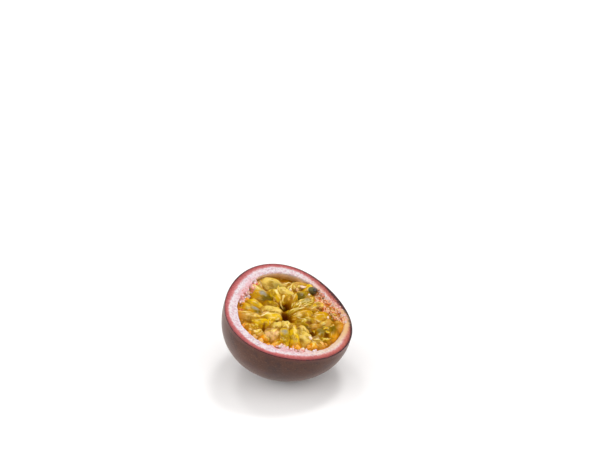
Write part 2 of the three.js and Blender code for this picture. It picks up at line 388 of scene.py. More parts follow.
def flatten_spot(piece):
    """Points under the resting surface are raised to it."""
    mesh = piece.data
    places = np.empty(len(mesh.vertices) * 3, np.float32)
    mesh.vertices.foreach_get("co", places)
    places[2::3] = np.maximum(places[2::3], 0)
    mesh.vertices.foreach_set("co", places)
    mesh.update()


# ---------------------------------------------------------------- the rind

RIND_AROUND = 360
SKIN_ROWS, EDGE_ROWS, FACE_ROWS, LIP_ROWS, HOLLOW_ROWS = 110, 6, 46, 6, 34
FIRST_FACE_ROW = SKIN_ROWS + EDGE_ROWS - 1
FIRST_LIP_ROW = FIRST_FACE_ROW + FACE_ROWS - 1
EDGE, EDGE_REACH, EDGE_DROP = 0.4, 0.2, 0.12
LIP = 0.6

# How far the soft bumps of the skin, the cut face and the hollow go, where they fade, and their layers
SKIN_DEPTH, SKIN_FADE, SKIN_WAVES = 0.35, 2, ((0.7, 13, 1), (0.3, 4.5, 2))
SPONGE_DEPTH, SPONGE = 0.12, ((0.6, 1.6, 3), (0.4, 0.7, 4))
LUMP_HEIGHT, BED_LUMP_HEIGHT, HOLLOW_LUMPS = 0.35, 1.0, ((0.5, 2.6, 5), (0.5, 1.1, 6))
LUMPY_BED_SPREAD = SEED_BED_SPREAD + 6
LUMP_FADE_ROWS, LUMP_FADE_REACH = 8, 10

# Where the cut face is darker and where juice has stained it
DARK_SIDE, DARK_SPREAD = 30, 55
THICK_SIDE_DARKNESS, THICK_SIDE_SPREAD = 0.35, 22
JUICE_SIDE, JUICE_SPREAD = 2, 52

# How wide the red band is at the cut: over most of it, then how much more it is, where and how far each way
RED_BAND = 1.2
RED_BAND_CHANGES = ((1.3, 26, 38), (0.35, 150, 30), (-0.35, 195, 14), (-0.3, 252, 18))


def red_band(bearing):
    """The width of the red band over its mean: a constant plus a bell at each bearing where it changes."""
    return RED_BAND + sum(change * bump(bearing, at, spread) for change, at, spread in RED_BAND_CHANGES)


def rind_section(bearing):
    """Radius and height, row by row: skin up the outside of the spheroid, over a rounded edge, in across the
    cut face, over a rounded lip and down the cavity."""
    rim, hollow = outer_radius(bearing, 0), cavity_radius(bearing, 0)
    quarter, curl = quarter_turn(EDGE_ROWS), quarter_turn(LIP_ROWS)
    across = np.linspace(0, 1, FACE_ROWS)[1:, None]
    skin_z = spheroid_heights(HALF_HEIGHT, SKIN_ROWS)[:, None]
    skin_z = skin_z * (POLE_DEPTH - EDGE) / POLE_DEPTH - EDGE
    edge = rim - EDGE_REACH * (1 - np.cos(quarter))
    edge_z = -EDGE * (1 - np.sin(quarter)) - EDGE_DROP * np.sin(quarter)
    face = (rim - EDGE_REACH) * (1 - across) + (hollow + LIP) * across
    face_z = -EDGE_DROP * np.exp(-(((rim - face) / SKIN_EDGE) ** 2))
    lip = hollow + LIP * (1 - np.sin(curl))
    lip_z = -LIP * (1 - np.cos(curl))
    hollow_z = -LIP + (spheroid_heights(INNER_HALF_HEIGHT, HOLLOW_ROWS)[::-1, None])[1:]
    hollow_z = np.maximum(hollow_z, -EQUATOR_DEPTH - INNER_HALF_HEIGHT)
    radii = (outer_radius(bearing, skin_z), edge, face, lip, cavity_radius(bearing, hollow_z))
    heights = (skin_z, edge_z, face_z, lip_z, hollow_z)
    radius = np.concatenate(radii)
    radius[[0, -1]] = 0
    return radius, np.concatenate([np.broadcast_to(part, (len(part), RIND_AROUND)) for part in heights])


def waved_skin(points, height):
    """The skin with soft waves, which go inwards only and fade towards the cut."""
    below_cut = np.zeros((len(points), 1))
    below_cut[:SKIN_ROWS] = np.clip(-height[:SKIN_ROWS, :1] / SKIN_FADE, 0, 1)
    inwards = np.array([0, 0, -EQUATOR_DEPTH]) - points
    inwards /= np.linalg.norm(inwards, axis=-1, keepdims=True)
    waves = 0.5 + 0.5 * layered(points, *SKIN_WAVES)
    return points + inwards * (SKIN_DEPTH * waves * below_cut)[..., None]


def roughen_cut(points, radius, seed_bed):
    """The face is a little spongy, and the cavity is lumpy, most at the seed beds: its radius is changed by
    bumps that fade in over the last rows of the face and out towards the bottom."""
    sponge = 0.5 + 0.5 * layered(points, *SPONGE)
    face = slice(FIRST_FACE_ROW, FIRST_LIP_ROW)
    points[face, :, 2] -= (SPONGE_DEPTH * sponge)[face]
    lumps = (LUMP_HEIGHT + BED_LUMP_HEIGHT * seed_bed) * layered(points, *HOLLOW_LUMPS)
    fade = np.zeros_like(radius)
    fade[FIRST_LIP_ROW - LUMP_FADE_ROWS:FIRST_LIP_ROW] = np.linspace(0, 1, LUMP_FADE_ROWS)[:, None]
    fade[FIRST_LIP_ROW:-1] = np.clip(radius[FIRST_LIP_ROW:-1] / LUMP_FADE_REACH, 0, 1)
    points[..., :2] *= (1 + (lumps * fade) / np.maximum(radius, 1))[..., None]


def rind_fields(bearing, radius, height, seed_bed):
    """What the finishes read: how far in from the skin and out from the hollow a place is, and the sides that
    are dark, lumpy or stained."""
    rim, hollow = outer_radius(bearing, 0), cavity_radius(bearing, 0)
    row = np.arange(len(radius))[:, None]
    from_skin = np.where(row < SKIN_ROWS, height, rim - radius)
    from_skin = np.where(row < FIRST_LIP_ROW, from_skin, rim - hollow - height)
    from_hollow = np.where(row < FIRST_LIP_ROW, hollow - radius, -height)
    dark = bump(bearing, DARK_SIDE, DARK_SPREAD)
    dark = dark + THICK_SIDE_DARKNESS * bump(bearing, THICK_SIDE, THICK_SIDE_SPREAD)
    grids = {
        "from_skin": from_skin / red_band(bearing),
        "dark_side": dark,
        "from_hollow": from_hollow,
        "seed_bed": seed_bed,
        "juice_stain": bump(bearing, JUICE_SIDE, JUICE_SPREAD),
    }
    return {field: np.broadcast_to(grid, radius.shape)[None] for field, grid in grids.items()}


def rind():
    """Skin, flesh and pith as one closed surface of revolution with an uneven section."""
    bearing = all_round(RIND_AROUND)
    radius, height = rind_section(bearing)
    seed_bed = sum(bump(bearing, at, LUMPY_BED_SPREAD) for at in SEED_BEDS_AT)
    points = waved_skin(cylinder_points(bearing, radius, height), height)
    roughen_cut(points, radius, seed_bed)
    piece = closed_mesh("rind", points[None], rind_fields(bearing, radius, height, seed_bed))
    flatten_spot(piece)
    piece.data.materials.append(skin_finish())
    piece.data.materials.append(flesh_finish())
    skin_faces = RIND_AROUND * (SKIN_ROWS - 1)
    slots = (np.arange(len(piece.data.polygons)) >= skin_faces).astype(np.int32)
    piece.data.polygons.foreach_set("material_index", slots)
    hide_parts("shell")


# ---------------------------------------------------------------- the pulp's form

# The jelly: how it climbs the wall and is padded at one side, how it clings to the sacs, and its seams
CLIMB, CLIMB_STEEPNESS, CLIMB_LOW_AT, CLIMB_SPREAD = 1.6, 6, 88, 35
PAD, PAD_FROM, PAD_REACH, PAD_AT, PAD_SPREAD = 1.2, 0.55, 0.25, 27, 22
JELLY_CLOSER = 0.06
JELLY_FALL, JELLY_STEEPNESS = 0.24, 3
JELLY_BLEND, COLOUR_BLEND = 0.4, 0.5
SEAM_DEPTH = 0.35
ORANGE_LESS, ORANGE_LESS_AT, ORANGE_LESS_SPREAD = 0.2, 100, 34

# A level under everything, for places where there is no sac
NO_SAC = -9

# Creases along the sacs: their depth, the fewest round one, their twist, and how far round they start
CREASE = 0.12
FEWEST_CREASES = 3
CREASE_TWIST, CREASE_START = 1.2, 3

# Folds of membrane: their height and width, how stretched the noise is along the radius and round it, its
# layers, and the patches that have folds
FOLD_HEIGHT, FOLD_WIDTH = 0.3, 0.18
FOLD_ALONG, FOLD_ROUND = 0.3, 10
FOLD_WANDER = ((0.8, 1.7, 31), (0.4, 0.7, 32))
FOLD_PATCH, FOLD_PATCHES = 0.5, (1.3, 3.0, 33)

# A seed seen through its sac: the size of its dark shape, how fast that and its painted grey glint fall off
# along and across, and where each lies. The dark part is moved towards a shady bearing as painted shade, and
# the glint the other way as a painted highlight, each by a share of its half length
SEED_SHADE_LENGTH, SEED_SHADE_WIDTH = 6.4, 5.2
INSIDE_FALL, INSIDE_AT = (0.6, 0.7), 0.1
GLINT_FALL, GLINT_AT = (3.5, 5.5), -0.4
SHADY_SIDE, SHADY_SHIFT, LIGHT_SHIFT = -56, 0.5, -0.25
STREAK_OFFSET = 20.0


def ring_sacs(salt, ring):
    """One lower ring of sacs, as set_sacs() gives them: spaced round it and pointing inwards, unevenly."""
    index = np.arange(ring["count"])
    bearing = ring["phase"] + 360 / ring["count"] * (index + RING_SPACING * draw(index, salt + 2))
    length = ring["length"] * (1 + RING_LENGTHS * draw(index, salt + 3))
    heading = bearing + 180 + ring["stray"] * draw(index, salt + 4)
    outer = cylinder_points(bearing, ring["reach"], 0.0)
    gap = BACK_GAP * bump(bearing, CLIMB_LOW_AT, CLIMB_SPREAD)
    level = ring["level"] - gap + SAC_UNEVEN * draw(index, salt + 5)
    juice = [JUICES[LOWER_JUICES[i % len(LOWER_JUICES)]] for i in index]
    dark = RING_SEED_DARKNESS * (draw(index, salt + 6) > 0)
    seed = np.stack([dark, 0 * dark, RING_SEED_SHIFT * draw(index, salt + 7)], axis=-1)
    inner = outer + cylinder_points(heading, length, 0.0)
    return outer, inner, np.full(len(index), ring["width"]), level, juice, seed


def set_sacs():
    """The sacs that show and the tucked ones: outer and inner ends, widths, levels, juices and seeds."""
    rows = SACS + TUCKED_SACS
    at = np.array([row[:5] for row in rows])
    index = np.arange(len(rows))
    outer, inner = cylinder_points(at[:, 0], at[:, 1], 0.0), cylinder_points(at[:, 2], at[:, 3], 0.0)
    level = PULP_LEVEL + SAC_UNEVEN * draw(index, 1) - TUCKED_UNDER * (index >= len(SACS))
    juice, seed = [JUICES[row[5]] for row in rows], [row[6:] or NO_SEED for row in rows]
    return outer, inner, at[:, 4], level, juice, seed


def sac_places():
    """The same for all the sacs: the set ones, then the lower rings."""
    groups = [set_sacs()] + [ring_sacs(10 * i, ring) for i, ring in enumerate(LOWER_SACS)]
    return [np.concatenate(lists) for lists in zip(*groups)]


SAC_OUTER, SAC_INNER, SAC_WIDTH, SAC_LEVEL, SAC_JUICE, SAC_SEED = sac_places()


def within_sacs(x, y):
    """For places in the pulp, each sac's share along, its share across and its top along the ridge."""
    half = (SAC_INNER - SAC_OUTER)[:, None, :2] / 2
    middle = (SAC_INNER + SAC_OUTER)[:, None, :2] / 2
    off = np.stack([x.ravel(), y.ravel()], axis=-1)[None] - middle
    length = np.linalg.norm(half, axis=-1)
    along = (off * half).sum(-1) / length**2
    across = (off[..., 1] * half[..., 0] - off[..., 0] * half[..., 1]) / length / (SAC_WIDTH[:, None] / 2)
    ridge = slumped(SAC_LEVEL[:, None], x.ravel()[None], y.ravel()[None]) - SAC_DIP * along
    return along, across, ridge


def creases(sac, along, angle):
    """How deep the folds along each sac are, over its half width: a cosine round it without its sign, fading
    to the ends."""
    turns = (FEWEST_CREASES + sac % 3) / 2
    twist = turns * angle + CREASE_TWIST * draw(sac, 21) * along + CREASE_START * draw(sac, 22)
    return CREASE * (0.5 + 0.5 * draw(sac, 26)) * np.abs(np.cos(twist)) * (1 - along**4)


def outwards(x, y):
    """How orange the place makes the juice: its share of the way to the wall, and less at one side."""
    bearing = np.degrees(np.arctan2(y, x))
    less = ORANGE_LESS * bump(bearing, ORANGE_LESS_AT, ORANGE_LESS_SPREAD)
    return np.hypot(x, y) / cavity_radius(bearing, BED_LEVEL) - less


def membrane(x, y):
    """Thin folds of loose membrane, from 0 to 1, that run mostly inwards: a bell round the places where a
    noise that is stretched along the radius is nought."""
    angle, along = np.arctan2(y, x), FOLD_ALONG * np.hypot(x, y)
    place = np.stack([along, FOLD_ROUND * np.cos(angle), FOLD_ROUND * np.sin(angle)], axis=-1)
    patches = np.clip(FOLD_PATCH + layered(place, FOLD_PATCHES), 0, 1)
    return np.exp(-((layered(place, *FOLD_WANDER) / FOLD_WIDTH) ** 2)) * patches


def sunk(x, y, places):
    """How deep the holes or the clefts are at a place: the sum of a turned oval bell for each."""
    depth = 0
    for at_x, at_y, reach_x, reach_y, turn, deep in places:
        cosine, sine = np.cos(np.radians(turn)), np.sin(np.radians(turn))
        over_x = ((x - at_x) * cosine + (y - at_y) * sine) / reach_x
        over_y = ((y - at_y) * cosine - (x - at_x) * sine) / reach_y
        depth = depth + deep * np.exp(-((over_x**2 + over_y**2) ** BELL_STEEPNESS))
    return depth


def jelly_parts(x, y, share, bearing):
    """The heights that the jelly is made of: for each sac a bowl-shaped skirt round it, and last the bed,
    which is level and climbs the wall all round but at the back."""
    along, across, ridge = within_sacs(x, y)
    sac = np.arange(len(SAC_WIDTH))[:, None]
    fall = np.abs(along) ** JELLY_STEEPNESS + across**2
    under = JELLY_CLOSER * draw(sac, 28) + JELLY_FALL * fall
    folds = SAC_FLATNESS / 2 * creases(sac, np.clip(along, -1, 1), np.arccos(np.clip(across, -1, 1)))
    skirts = ridge - SAC_WIDTH[:, None] * (under + folds)
    climb = CLIMB * share**CLIMB_STEEPNESS * (1 - bump(bearing, CLIMB_LOW_AT, CLIMB_SPREAD))
    pad = PAD * bump(bearing, PAD_AT, PAD_SPREAD) * np.clip((share - PAD_FROM) / PAD_REACH, 0, 1)
    bed = slumped(BED_LEVEL + climb + pad, x, y)
    return np.concatenate([skirts, bed.reshape(1, -1)])


def shares_of(parts):
    """How much each part counts at a place: the exponential of its height over the sum of them all."""
    weight = np.exp((parts - parts.max(axis=0)) / COLOUR_BLEND)
    return weight / weight.sum(axis=0)


def jelly_height(x, y, share, bearing):
    """A smooth maximum of the parts, the log of a sum of exponentials, less the seams and the holes."""
    parts = jelly_parts(x, y, share, bearing)
    seam = 1 - shares_of(parts).max(axis=0)
    height = JELLY_BLEND * np.logaddexp.reduce(parts / JELLY_BLEND) - SEAM_DEPTH * seam
    return height.reshape(x.shape) - sunk(x, y, HOLES + CLEFTS)


def sac_tops(x, y):
    """The highest sac at a place: each is a half circle across its width under its ridge."""
    along, across, ridge = within_sacs(x, y)
    girth = np.sqrt(np.maximum(1 - along**2, 0)) ** SAC_FULLNESS
    high = girth**2 - across**2
    rise_to = SAC_FLATNESS * SAC_WIDTH[:, None] / 2 * (np.sqrt(np.maximum(high, 0)) - 1)
    return np.where(high > 0, ridge + rise_to, NO_SAC).max(axis=0).reshape(x.shape) - sunk(x, y, CLEFTS)


def heap_top(x, y, bearing):
    """The top of the heap, jelly or sac, at places near a bearing."""
    share = wall_share(bearing, np.hypot(x, y))
    return np.maximum(jelly_height(x, y, share, bearing), sac_tops(x, y))


def sac_fields(sac, along, across, angle):
    """What the finish reads, for places on sacs given by their share along, how far they are across and the
    angle round: lengths along and around, how near the ridge they are, the seed and the juice."""
    inward = (SAC_INNER - SAC_OUTER)[:, :2]
    half = np.linalg.norm(inward, axis=-1)[sac] / 2
    fullness = np.maximum(1 - along**2, 0) ** (SAC_FULLNESS / 2)
    off_along = (along - SAC_SEED[sac, 2]) * half / (SEED_SHADE_LENGTH / 2)
    off_across = across / (SEED_SHADE_WIDTH / 2)
    on_top = np.clip(1 + 2 * np.sin(angle), 0, 1)
    turn = (np.radians(SHADY_SIDE) - np.arctan2(inward[:, 1], inward[:, 0]))[sac]

    def shade(at, shift, falls):
        """An oval bell round the seed's middle, moved along the sac and then towards the shady side for
        painted shade, or away from it for the painted glint.
        """
        off = off_along - at - shift * np.cos(turn), off_across - shift * np.sin(turn)
        return np.exp(-falls[0] * off[0] ** 2 - falls[1] * off[1] ** 2)

    return {
        "along": along * half + STREAK_OFFSET * sac,
        "around": (angle + np.pi / 2) * SAC_WIDTH[sac] / 2,
        "high": np.sin(angle) * fullness,
        # The seed's dark shape, moved towards the shady side as painted shade
        "seed_dark_and_painted_shade": SAC_SEED[sac, 0] * shade(INSIDE_AT, SHADY_SHIFT, INSIDE_FALL) * on_top,
        # A painted grey glint on the seed, moved towards the light
        "seed_painted_glint": SAC_SEED[sac, 1] * shade(GLINT_AT, LIGHT_SHIFT, GLINT_FALL) * on_top,
    }


# ---------------------------------------------------------------- the jelly and the sacs

# The bed: its rows and columns, how far its side rows end under its top, and the bumps there, which fade at
# the wall
BED_AROUND, BED_SIDE_ROWS, BED_TOP_ROWS = 360, 14, 120
BED_INSET = 0.15
BED_SKIRT = 1.5
BED_LUMPS, BED_LUMP_LAYERS = 0.3, ((0.5, 2.4, 11), (0.35, 1.1, 12), (0.15, 0.5, 13))
BED_FADE = 8

# The sacs: rows and columns, how far they bend, swell round the seed and bulge, and their room at the wall
SAC_ROWS, SAC_COLUMNS = 36, 42
SAC_BEND = 0.7
SEED_SWELL, SEED_SWELL_REACH = 0.08, 0.45
SAC_LUMPS, SAC_LUMP_LAYERS, LUMP_WAYS = 0.5, ((0.6, 2.8, 25), (0.4, 1.3, 27)), np.array([0.7, 0.7, 1])
SAC_INSET = 0.1


def bed_points(bearing):
    """Up the cavity's wall as a spheroid goes, then in to the middle across the top. The top is the jelly's
    height with bumps and with folds of membrane."""
    inset = GAP + BED_INSET
    side_z = spheroid_heights(INNER_HALF_HEIGHT, BED_SIDE_ROWS)[:, None]
    side_z = side_z[side_z[:, 0] < BED_LEVEL - BED_SKIRT]
    side = np.maximum(cavity_radius(bearing, side_z) - inset, 0)
    side[0] = 0
    share = np.linspace(1, 0, BED_TOP_ROWS)[:, None]
    top = share * (cavity_radius(bearing, BED_LEVEL) - inset)
    flat = cylinder_points(bearing, top, 0.0)
    x, y = flat[..., 0], flat[..., 1]
    rough = BED_LUMPS * layered(flat, *BED_LUMP_LAYERS) + FOLD_HEIGHT * membrane(x, y)
    height = jelly_height(x, y, share, bearing) + rough * np.clip(BED_FADE * (1 - share), 0, 1)
    height[-1] = height[-1].mean()
    heights = [np.broadcast_to(side_z, side.shape), height]
    return cylinder_points(bearing, np.concatenate([side, top]), np.concatenate(heights))


def bed_fields(bearing, points):
    """What the finish reads on the jelly: each sac's values, weighed by how much the sac counts at the place,
    but its streaks from the sac that counts most."""
    x, y = points[..., 0], points[..., 1]
    parts = shares_of(jelly_parts(x, y, wall_share(bearing, np.hypot(x, y)), bearing))
    along, across, _ = within_sacs(x, y)
    along, across = np.clip(along, -1, 1), np.clip(across, -1, 1)
    sac = np.broadcast_to(np.arange(len(SAC_WIDTH))[:, None], along.shape)
    fields = sac_fields(sac, along, across * SAC_WIDTH[:, None] / 2, np.arccos(across))
    nearest = parts[:-1].argmax(axis=0)[None]
    for field, values in fields.items():
        if field in ("along", "around"):
            values = np.take_along_axis(values, nearest, 0)[0]
        else:
            values = (parts[:-1] * values).sum(axis=0)
        fields[field] = values.reshape(x.shape)
    juices = np.concatenate([SAC_JUICE, [JUICES["orange"]]])
    fields.update({
        "depth": slumped(PULP_LEVEL, x, y) - points[..., 2],
        "out": outwards(x, y),
        "hole": sunk(x, y, HOLES),
        "cleft": sunk(x, y, CLEFTS),
        "fold": membrane(x, y),
        "seam": (1 - parts.max(axis=0)).reshape(x.shape),
        "juice": (parts.T @ juices).reshape(x.shape + (4,)),
    })
    return {field: grid[None] for field, grid in fields.items()}


def jelly_bed():
    """The jelly between the sacs: it fills the cavity and clings to the sacs and the wall."""
    bearing = all_round(BED_AROUND)
    points = bed_points(bearing)
    piece = closed_mesh("jelly_bed", points[None], bed_fields(bearing, points))
    piece.data.materials.append(JUICY_PULP)
    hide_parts("pulp")


def pressed(points):
    """Points moved in where they would go through the wall, and levelled softly by the knife."""
    bearing = np.degrees(np.arctan2(points[..., 1], points[..., 0]))
    radius = np.hypot(points[..., 0], points[..., 1])
    limit = cavity_radius(bearing, points[..., 2]) - SAC_INSET
    points[..., :2] *= (np.minimum(radius, limit) / np.maximum(radius, 0.01))[..., None]
    start = slumped(KNIFE_LEVEL - KNIFE_SOFTNESS, points[..., 0], points[..., 1])
    over = np.maximum(points[..., 2] - start, 0)
    points[..., 2] = np.minimum(points[..., 2], start) + KNIFE_SOFTNESS * np.tanh(over / KNIFE_SOFTNESS)
    return points


def juice_sacs():
    """Blunt eggs, fat at the outer end, with creases along them: a circle of changing radius carried from one
    end to the other, on a line that bends. They are pressed against the wall and under the knife."""
    count = np.arange(len(SAC_WIDTH))
    forward = pole_to_pole(SAC_ROWS)
    angle = once_round(SAC_COLUMNS, first=-np.pi / 2)
    width = each(SAC_WIDTH)
    half = (SAC_INNER - SAC_OUTER) / 2
    across = np.stack([-half[:, 1], half[:, 0], 0 * half[:, 0]], axis=-1)
    across /= np.linalg.norm(across, axis=-1, keepdims=True)
    fullness = np.maximum(1 - forward**2, 0) ** (SAC_FULLNESS / 2)
    folds = 1 - creases(each(count), forward, angle)
    swell = 1 + SEED_SWELL * np.exp(-(((forward - each(SAC_SEED[:, 2])) / SEED_SWELL_REACH) ** 2))
    girth = width / 2 * fullness * (1 - SAC_BULB * forward) * folds * swell
    sideways = np.cos(angle) * girth + each(SAC_BEND * draw(count, 24)) * (1 - forward**2)
    middle = (SAC_OUTER + SAC_INNER) / 2
    middle, half, across = (vectors[:, None, None, :] for vectors in (middle, half, across))
    points = middle + half * forward[..., None] + across * sideways[..., None]
    surface = slumped(each(SAC_LEVEL), points[..., 0], points[..., 1])
    high = np.sin(angle) * girth
    points[..., 2] = surface + SAC_FLATNESS * (high - width / 2) - SAC_DIP * forward

    lumps = layered(points, *SAC_LUMP_LAYERS)
    points = points + (SAC_LUMPS * lumps * fullness)[..., None] * LUMP_WAYS
    fold = membrane(points[..., 0], points[..., 1]) * np.clip(np.sin(angle), 0, 1) * fullness
    cleft = sunk(points[..., 0], points[..., 1], CLEFTS)
    points[..., 2] += FOLD_HEIGHT * fold - cleft
    points = pressed(points)

    x, y, z = points[..., 0], points[..., 1], points[..., 2]
    sac = np.broadcast_to(each(count), x.shape)
    fields = sac_fields(sac, *np.broadcast_arrays(forward, np.cos(angle) * girth, angle))
    fields.update({
        "depth": slumped(PULP_LEVEL, x, y) - z,
        "out": outwards(x, y),
        "fold": fold,
        "cleft": cleft,
        "juice": np.broadcast_to(SAC_JUICE[:, None, None, :], x.shape + (4,)),
    })
    piece = closed_mesh("juice_sacs", points, fields)
    piece.data.materials.append(JUICY_PULP)


# ---------------------------------------------------------------- scraps, seeds and stalks

# Drops: how much they taper, how uneven and how bent they are, and their height over their width
DROP_TAPER, DROP_UNEVEN, DROP_BEND, DROP_FLATNESS = 0.3, 0.15, 0.25, 0.8

# Random scraps: how many, how far from the middle, their length and width, how much each varies, how far they
# stray from the way to the middle, how steep they lie, how deep, and how clear they stay of a seed that shows
SHREDS = 90
SHRED_JUICES = ("yellow", "cream", "tan", "gold")
SHREDS_FROM, SHREDS_REACH = 3.5, 16.5
SHRED_LENGTH, SHRED_LENGTHS = 2.0, 0.6
SHRED_WIDTH, SHRED_WIDTHS = 1.0, 0.4
SHRED_STRAY = 60
SHRED_STEEPEST = 0.7
SHRED_DEPTH = 0.2
SEED_CLEARANCE = 3.5

# The share of a turn that spreads scraps and stalks evenly
GOLDEN_SHARE = 0.618

# Larger scraps that lie at set places: bearing, distance, turn from the way to the middle, length, width and
# juice. They lie on the heap, and those of the sunken juices lie deeper. The pale ones are painted
# highlights:
# pale drops put where light glints on wet bumps
SCRAPS = (
    (306, 16.0, -75, 2.6, 1.9, "pale"),
    (290, 20.4, -36, 2.4, 2.0, "pale"),
    (269, 20.4, -9, 2.2, 2.0, "pale"),
    (274, 21.2, -14, 2.3, 2.2, "peach"),
    (3, 16.6, -104, 1.6, 1.1, "pale"),
    (76, 17.7, 101, 2.8, 1.2, "pale"),
    (153, 16.9, 56, 4.0, 1.3, "cream"),
    (60, 8.9, 162, 3.0, 1.1, "cream"),
    (46, 8.7, 175, 3.4, 1.0, "cream"),
    (243, 22.5, -11, 3.0, 2.3, "peach"),
    (250, 21.6, -9, 2.8, 2.4, "flame"),
    (256, 21.6, -14, 3.0, 2.4, "flame"),
    (263, 20.9, -2, 2.5, 2.3, "peach"),
    (279, 20.6, -19, 2.8, 2.3, "flame"),
    (285, 20.5, -12, 2.8, 2.2, "flame"),
    (299, 20.7, -12, 2.5, 2.4, "flame"),
    (305, 21.4, -18, 3.0, 2.4, "flame"),
    (314, 21.6, 1, 2.8, 2.2, "peach"),
    (169, 19.0, 7, 2.8, 2.2, "flame"),
    (176, 19.4, 0, 2.5, 1.9, "flame"),
    (153, 19.9, -4, 2.2, 1.8, "pale"),
    (145, 19.8, 3, 2.5, 2.0, "peach"),
    (191, 20.6, 6, 2.3, 1.9, "peach"),
    (235, 21.8, 7, 3.0, 2.2, "peach"),
    (226, 22.0, 6, 2.8, 2.0, "flame"),
    (216, 21.8, 2, 2.5, 1.9, "flame"),
    (322, 22.2, -7, 2.8, 1.9, "flame"),
    (139, 19.8, 0, 1.9, 1.4, "ruby"),
    (152, 18.9, 30, 1.6, 1.1, "ruby"),
    (163, 19.4, 10, 2.2, 1.3, "ruby"),
    (185, 20.0, -30, 2.6, 1.1, "ruby"),
    (197, 21.6, 80, 2.8, 0.9, "ruby"),
    (269, 22.5, 20, 1.8, 1.1, "ruby"),
    (276, 22.2, -20, 2.2, 1.1, "ruby"),
    (58.5, 16.2, 20, 1.7, 1.5, "pale"),
    (165, 9.6, 15, 3.4, 0.8, "cream"),
    (172, 7.2, -10, 3.0, 0.8, "yellow"),
    (186, 10.2, 8, 3.6, 0.9, "cream"),
    (194, 8.4, -12, 3.4, 0.8, "yellow"),
    (198, 5.6, 10, 2.6, 0.8, "cream"),
    (203, 11.0, 14, 3.6, 0.9, "blush"),
    (212, 8.6, -8, 3.2, 0.8, "cream"),
    (221, 10.4, 6, 3.2, 0.9, "yellow"),
    (226, 7.0, 12, 2.8, 0.8, "cream"),
    (236, 9.2, -14, 3.0, 0.8, "cream"),
    (112, 8.2, 10, 3.2, 0.8, "cream"),
    (136, 7.6, -8, 3.2, 0.8, "yellow"),
    (93, 16.1, 30, 1.5, 1.1, "cream"),
    (88, 15.7, -20, 1.4, 1.1, "pale"),
    (84, 16.9, 10, 1.5, 1.1, "cream"),
    (79, 16.4, 30, 1.6, 1.2, "blush"),
    (77, 17.9, -20, 1.4, 1.1, "cream"),
    (86, 14.6, 10, 1.6, 1.1, "blush"),
    (99, 15.2, 30, 1.5, 1.1, "cream"),
)
SUNKEN_JUICES = ("flame", "peach")
SCRAP_DEPTH, SUNKEN_DEPTH = 0.1, 0.35

# Bare seeds: bearing, distance, level of the middle, turn from the radial line, and steepness
BARE_SEEDS = (
    (59, 18.7, -0.8, 25, 48),
)
SEED_LENGTH, SEED_WIDTH, SEED_FLATNESS = 5.4, 4.2, 0.76
SEED_TAPER = 0.18
SEED_ROWS, SEED_COLUMNS = 26, 28

# Stalks that tie the sacs to the pith, in a tuft at each seed bed: bearing, spread, count, how far in from
# the wall and out over the pith they reach, their length, their thickness, how much they stray from the way
# to the middle, and how pink they stay
STALK_TUFTS = (
    (27, 27, 380, 5.4, 2.4, 1.0, 0.9, 80, -1.6),
    (154, 22, 70, 2.4, 0.9, 1.6, 1.1, 80, 0.9),
    (278, 25, 44, 1.6, 0.9, 2.0, 1.1, 60, 0.5),
)
STALK_LENGTHS, STALK_WIDTHS = 0.45, 0.35
STALK_DIP = -0.1

# Their levels: on the jelly, how much higher near the wall, the most over the jelly and on the pith, and how
# far out over the pith they reach that last level
STALK_LIFT, WALL_LIFT = 0.1, 0.6
STALK_TOP, PITH_TOP, PITH_REACH = -0.35, -0.15, 0.6
STALK_WALL_LEVEL = -1.0


def droplets(start, heading, length, width, rise_along, salt, rows=9, columns=10):
    """Small tapering drops: an uneven circle carried along a short bent line from each start."""
    count = np.arange(len(length))
    forward, angle = pole_to_pole(rows), once_round(columns)
    girth = each(width) / 2 * np.sqrt(np.maximum(1 - forward**2, 0)) * (1 - DROP_TAPER * forward)
    girth = girth * (1 + DROP_UNEVEN * np.sin(3 * angle + each(3 * draw(count, salt))))
    run = (forward + 1) * each(length) / 2
    side = np.cos(angle) * girth + each(DROP_BEND * length * draw(count, salt + 1)) * (1 - forward**2)
    x = each(start[:, 0]) + run * each(np.cos(heading)) - side * each(np.sin(heading))
    y = each(start[:, 1]) + run * each(np.sin(heading)) + side * each(np.cos(heading))
    z = each(start[:, 2]) + run * each(rise_along) + DROP_FLATNESS * np.sin(angle) * girth
    return np.stack(np.broadcast_arrays(x, y, z), axis=-1)


def from_seeds(x, y):
    """How far places are from the nearest seed with a strong painted grey glint on its sac."""
    seeds = (SAC_OUTER + SAC_INNER + (SAC_INNER - SAC_OUTER) * SAC_SEED[:, 2:]) / 2
    seeds = seeds[SAC_SEED[:, 1] > 0.5]
    return np.hypot(x[:, None] - seeds[:, 0], y[:, None] - seeds[:, 1]).min(axis=1)


